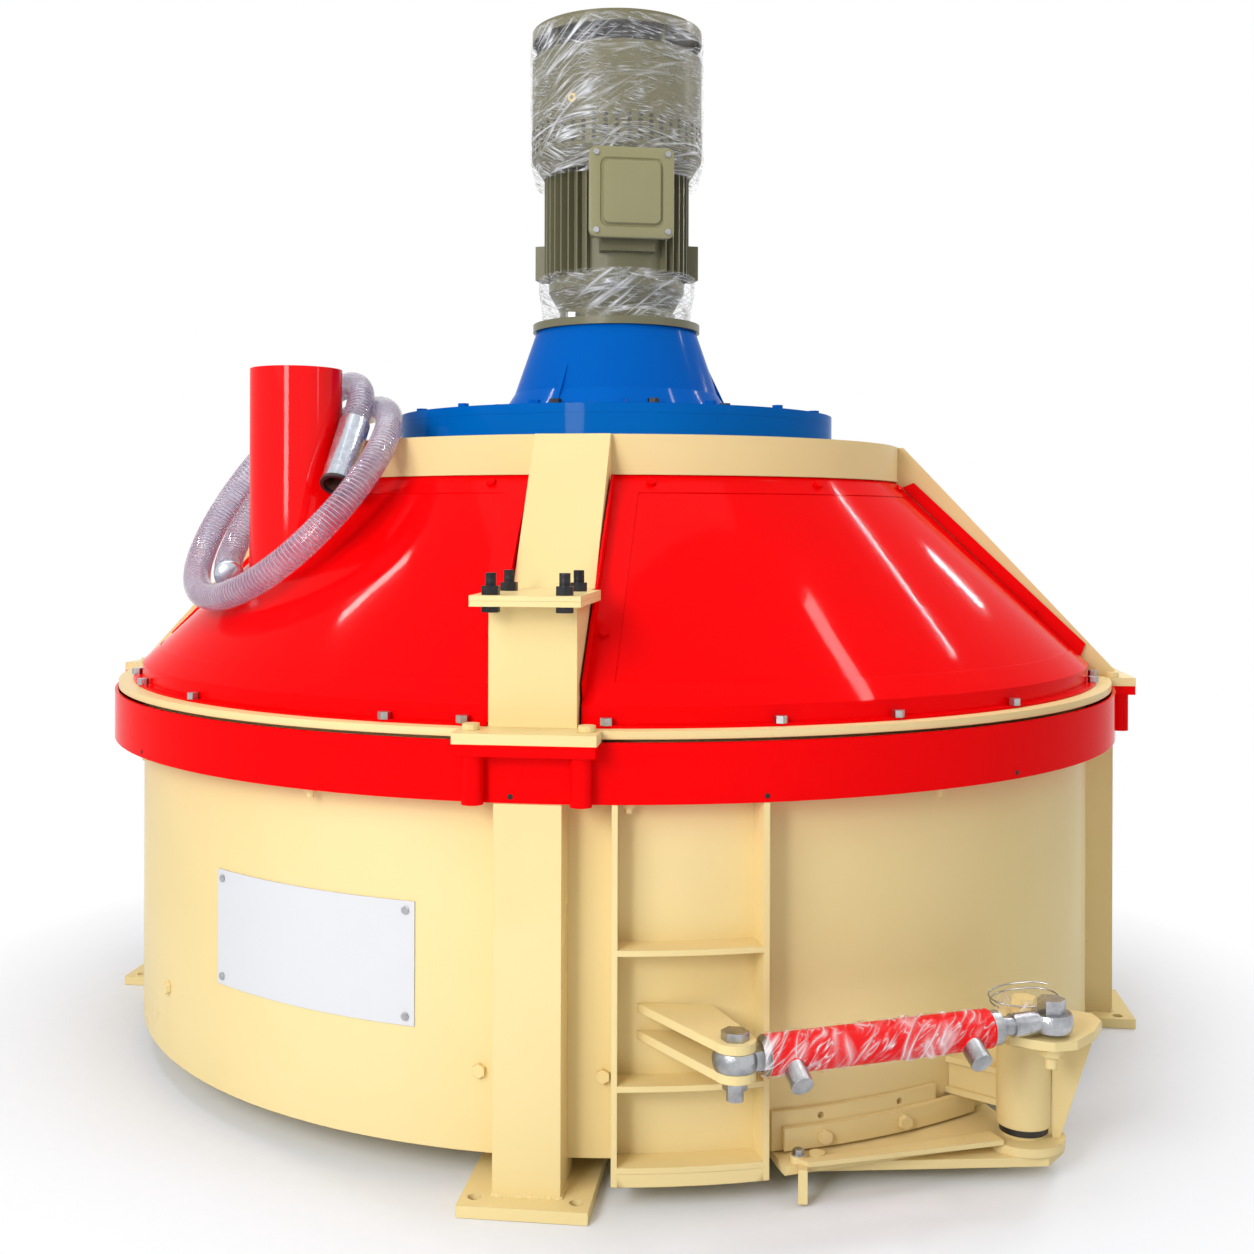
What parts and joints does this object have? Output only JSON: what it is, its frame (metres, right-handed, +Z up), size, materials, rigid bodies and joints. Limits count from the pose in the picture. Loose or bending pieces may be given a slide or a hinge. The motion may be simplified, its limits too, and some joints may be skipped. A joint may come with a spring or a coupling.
{
  "type": "planetary pan mixer",
  "caption": "Industrial pan mixer: round pan on legs, red cone cover, geared motor head, planetary star and scrapers, and a floor door moved by a hydraulic cylinder.",
  "frame": {"origin": "on the floor, on the mixer's vertical axis, at the middle of the four feet", "axes": "+Z up; the front leg stands on -Y, the discharge door is between the front and the right (+X) leg"},
  "size_m": [2.082, 2.1467, 2.025],
  "materials": {
    "black_steel": "black oxide",
    "blue_paint": "gloss enamel",
    "cream_paint": "gloss enamel",
    "cuff_steel": "rolled sleeve",
    "fan_plastic": "moulded",
    "hose_pvc": "clear with a wound wire",
    "machined_steel": "machined",
    "motor_paint": "satin enamel",
    "plate_white": "printed sheet, left blank",
    "red_paint": "gloss enamel",
    "wear_steel": "cast wear plate",
    "zinc_steel": "zinc plated"
  },
  "bodies": {
    "mixer": {"pan_shell": "cream_paint", "wall_liners": "wear_steel", "floor_liners": "wear_steel", "rim_band": "red_paint", "rim_flange": "cream_paint", "frame_ring": "cream_paint", "frame_arms": "cream_paint", "upper_posts": "cream_paint", "leg_front": "cream_paint", "leg_right": "cream_paint", "leg_rear": "cream_paint", "leg_left": "cream_paint", "cover_panel_front_right": "red_paint", "cover_panel_rear_right": "red_paint", "cover_panel_rear_left": "red_paint", "cover_panel_front_left": "red_paint", "inlet_tube": "red_paint", "pan_bolts": "cream_paint", "lip_bolts": "zinc_steel", "cover_bolts": "red_paint", "gear_plate": "blue_paint", "gear_cover_plate": "blue_paint", "main_bearing": "machined_steel", "gear_cone": "blue_paint", "reducer_core": "machined_steel", "black_bolts": "black_steel", "disc_bolts": "blue_paint", "ring_gear": "machined_steel", "gear_case": "blue_paint", "motor_flange": "motor_paint", "motor_body": "motor_paint", "terminal_box": "motor_paint", "terminal_lid": "motor_paint", "fan_cowl": "motor_paint", "motor_canopy": "motor_paint", "motor_bolts": "zinc_steel", "rib_frame": "cream_paint", "cylinder_clevis": "cream_paint", "hinge_tube": "cream_paint", "seal_strips": "cream_paint", "rear_pin": "zinc_steel", "nameplate": "plate_white", "nameplate_screws": "zinc_steel", "water_hose": "hose_pvc", "hose_cuffs": "cuff_steel"},
    "rotor": {"main_shaft": "machined_steel", "rotor_drum": "cream_paint", "scraper_arms": "cream_paint", "scraper_blades": "wear_steel"},
    "star": {"star_shaft": "machined_steel", "planet_gear": "machined_steel", "star_arms": "cream_paint", "star_paddles": "wear_steel"},
    "motor_armature": {"motor_rotor": "machined_steel", "cooling_fan": "fan_plastic"},
    "door": {"door_plate": "cream_paint", "door_lever": "cream_paint"},
    "cylinder": {"cylinder_barrel": "red_paint"},
    "rod": {"piston_rod": "machined_steel", "rod_pin": "zinc_steel"}
  },
  "joints": [
    {"name": "rotor_spin", "type": "hinge", "parent": "mixer", "child": "rotor", "pos_m": [0, 0, 0.9], "axis": [0, 0, 1], "continuous": true},
    {"name": "star_spin", "type": "hinge", "parent": "rotor", "child": "star", "pos_m": [0.275, 0, 0.9], "axis": [0, 0, 1], "continuous": true},
    {"name": "motor_spin", "type": "hinge", "parent": "mixer", "child": "motor_armature", "pos_m": [0, 0, 1.6], "axis": [0, 0, 1], "continuous": true},
    {"name": "door_swing", "type": "hinge", "parent": "mixer", "child": "door", "pos_m": [0.731, -0.762, 0.1], "axis": [0, 0, 1], "range_deg": [0, 75]},
    {"name": "cylinder_swing", "type": "hinge", "parent": "mixer", "child": "cylinder", "pos_m": [0.302, -1.074, 0.257], "axis": [0, 0, 1], "range_deg": [-0.5, 6]},
    {"name": "rod_slide", "type": "slide", "parent": "cylinder", "child": "rod", "axis": [0.9018, 0.4321, 0], "range_m": [0, 0.108]}
  ],
  "couplings": [
    {"joint": "star_spin", "follows": "rotor_spin", "ratio": -4.125},
    {"joint": "motor_spin", "follows": "rotor_spin", "ratio": 49.2},
    {"joint": "cylinder_swing", "follows": "door_swing", "ratio": 0.0676},
    {"joint": "rod_slide", "follows": "door_swing", "m_per_rad": 0.0817}
  ]
}
